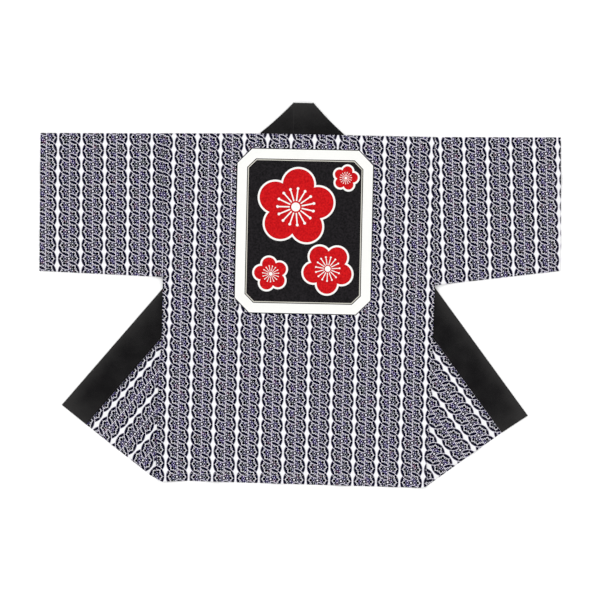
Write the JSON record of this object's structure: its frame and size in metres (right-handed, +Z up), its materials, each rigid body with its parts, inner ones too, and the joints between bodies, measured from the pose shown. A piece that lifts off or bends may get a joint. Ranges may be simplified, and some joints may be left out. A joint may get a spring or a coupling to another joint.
{
  "type": "happi coat",
  "caption": "Hip-length festival coat with wide open sleeves and a straight collar band, laid flat with its back up and both fronts folded outwards.",
  "frame": {"origin": "under the middle of the coat's outline, on the surface that it lies on", "axes": "+X across the coat from the sleeve on the left to the one on the right as seen from above, +Y from the hem to the neck, +Z up off the surface"},
  "size_m": [1.1914, 0.8812, 0.0068],
  "materials": {
    "printed_cotton": "plain-woven cotton printed with columns of navy discs on white",
    "black_cotton": "matt black cotton, doubled"
  },
  "bodies": {
    "root": {"back": "printed_cotton", "front_left": "printed_cotton", "front_right": "printed_cotton", "sleeve_left": "printed_cotton", "sleeve_right": "printed_cotton", "collar": "black_cotton"}
  },
  "joints": []
}
